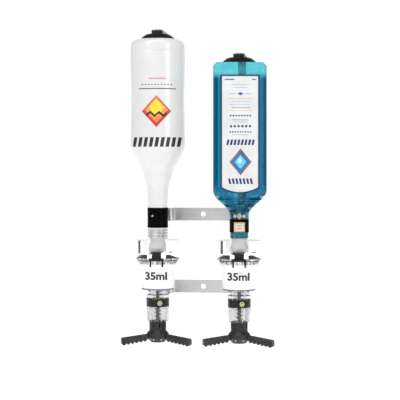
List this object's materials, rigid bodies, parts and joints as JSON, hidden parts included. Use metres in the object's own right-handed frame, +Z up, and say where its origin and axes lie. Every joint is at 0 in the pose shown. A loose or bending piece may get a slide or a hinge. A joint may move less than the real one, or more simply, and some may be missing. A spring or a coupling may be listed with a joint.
{
  "type": "wall mounted bar optic dispenser",
  "caption": "Wall-mounted spirit dispenser: steel strips and rails hold upturned bottles over push-up measures under sprung top pads.",
  "frame": {"origin": "midway between the two wall screw holes, on the wall plane", "axes": "+Z up, +Y into the wall, the drinker stands towards -Y"},
  "size_m": [0.2134, 0.1035, 0.4392],
  "materials": {
    "strip_steel": "satin brushed stainless steel strip",
    "rolled_steel": "rolled steel section",
    "bright_steel": "bright drawn steel",
    "spring_steel": "spring wire",
    "dark_steel": "dark blued spring leaf",
    "white_plastic": "white moulded plastic",
    "black_plastic": "black moulded plastic, satin",
    "gloss_black": "black moulded plastic, glossy",
    "black_rubber": "soft black rubber",
    "grey_stopper": "light grey stopper rubber",
    "cup_plastic": "frosted clear plastic with a white face",
    "clear_plastic": "clear moulded plastic",
    "sleeve_black": "black neck sleeve",
    "white_glass": "opaque white glass",
    "blue_glass": "blue tinted clear glass"
  },
  "bodies": {
    "bracket": {"upper_wall_strip": "strip_steel", "lower_wall_strip": "strip_steel", "left_rail": "rolled_steel", "left_holder": "white_plastic", "left_holder_screws": "bright_steel", "left_catch": "dark_steel", "left_spring_anchor": "rolled_steel", "right_rail": "rolled_steel", "right_holder": "white_plastic", "right_holder_screws": "bright_steel", "right_catch": "dark_steel", "right_spring_anchor": "rolled_steel"},
    "left_mast_set": {"left_mast": "bright_steel", "left_top_arm": "black_plastic", "left_dome_pad": "gloss_black", "left_rubber_face": "black_rubber", "left_pad_screw": "bright_steel", "left_mast_hook": "rolled_steel", "left_mast_spring": "spring_steel"},
    "left_bottle_set": {"left_bottle": "white_glass", "left_neck_sleeve": "sleeve_black", "left_stopper": "grey_stopper", "left_breather_tube": "clear_plastic", "left_lid": "gloss_black", "left_valve_housing": "white_plastic", "left_gasket": "black_rubber", "left_cup": "cup_plastic", "left_outlet": "clear_plastic", "left_band": "gloss_black", "left_skirt": "clear_plastic"},
    "left_push_set": {"left_hub": "black_plastic", "left_spindle": "bright_steel", "left_valve_seals": "black_rubber", "left_return_spring": "spring_steel"},
    "right_mast_set": {"right_mast": "bright_steel", "right_top_arm": "black_plastic", "right_dome_pad": "gloss_black", "right_rubber_face": "black_rubber", "right_pad_screw": "bright_steel", "right_mast_hook": "rolled_steel", "right_mast_spring": "spring_steel"},
    "right_bottle_set": {"right_bottle": "blue_glass", "right_neck_sleeve": "sleeve_black", "right_stopper": "grey_stopper", "right_breather_tube": "clear_plastic", "right_lid": "gloss_black", "right_valve_housing": "white_plastic", "right_gasket": "black_rubber", "right_cup": "cup_plastic", "right_outlet": "clear_plastic", "right_band": "gloss_black", "right_skirt": "clear_plastic"},
    "right_push_set": {"right_hub": "black_plastic", "right_spindle": "bright_steel", "right_valve_seals": "black_rubber", "right_return_spring": "spring_steel"}
  },
  "joints": [
    {"name": "left_mast_slide", "type": "slide", "parent": "bracket", "child": "left_mast_set", "axis": [0, 0, 1], "range_m": [0, 0.045], "stiffness_N_per_m": 60, "springref_m": -0.05, "deforming": ["left_mast_spring"]},
    {"name": "left_bottle_slide", "type": "slide", "parent": "bracket", "child": "left_bottle_set", "axis": [0, -1, 0], "range_m": [0, 0.12]},
    {"name": "left_push", "type": "slide", "parent": "left_bottle_set", "child": "left_push_set", "axis": [0, 0, 1], "range_m": [0, 0.008], "stiffness_N_per_m": 400, "springref_m": -0.01, "deforming": ["left_return_spring"]},
    {"name": "right_mast_slide", "type": "slide", "parent": "bracket", "child": "right_mast_set", "axis": [0, 0, 1], "range_m": [0, 0.045], "stiffness_N_per_m": 60, "springref_m": -0.05, "deforming": ["right_mast_spring"]},
    {"name": "right_bottle_slide", "type": "slide", "parent": "bracket", "child": "right_bottle_set", "axis": [0, -1, 0], "range_m": [0, 0.12]},
    {"name": "right_push", "type": "slide", "parent": "right_bottle_set", "child": "right_push_set", "axis": [0, 0, 1], "range_m": [0, 0.008], "stiffness_N_per_m": 400, "springref_m": -0.01, "deforming": ["right_return_spring"]}
  ]
}
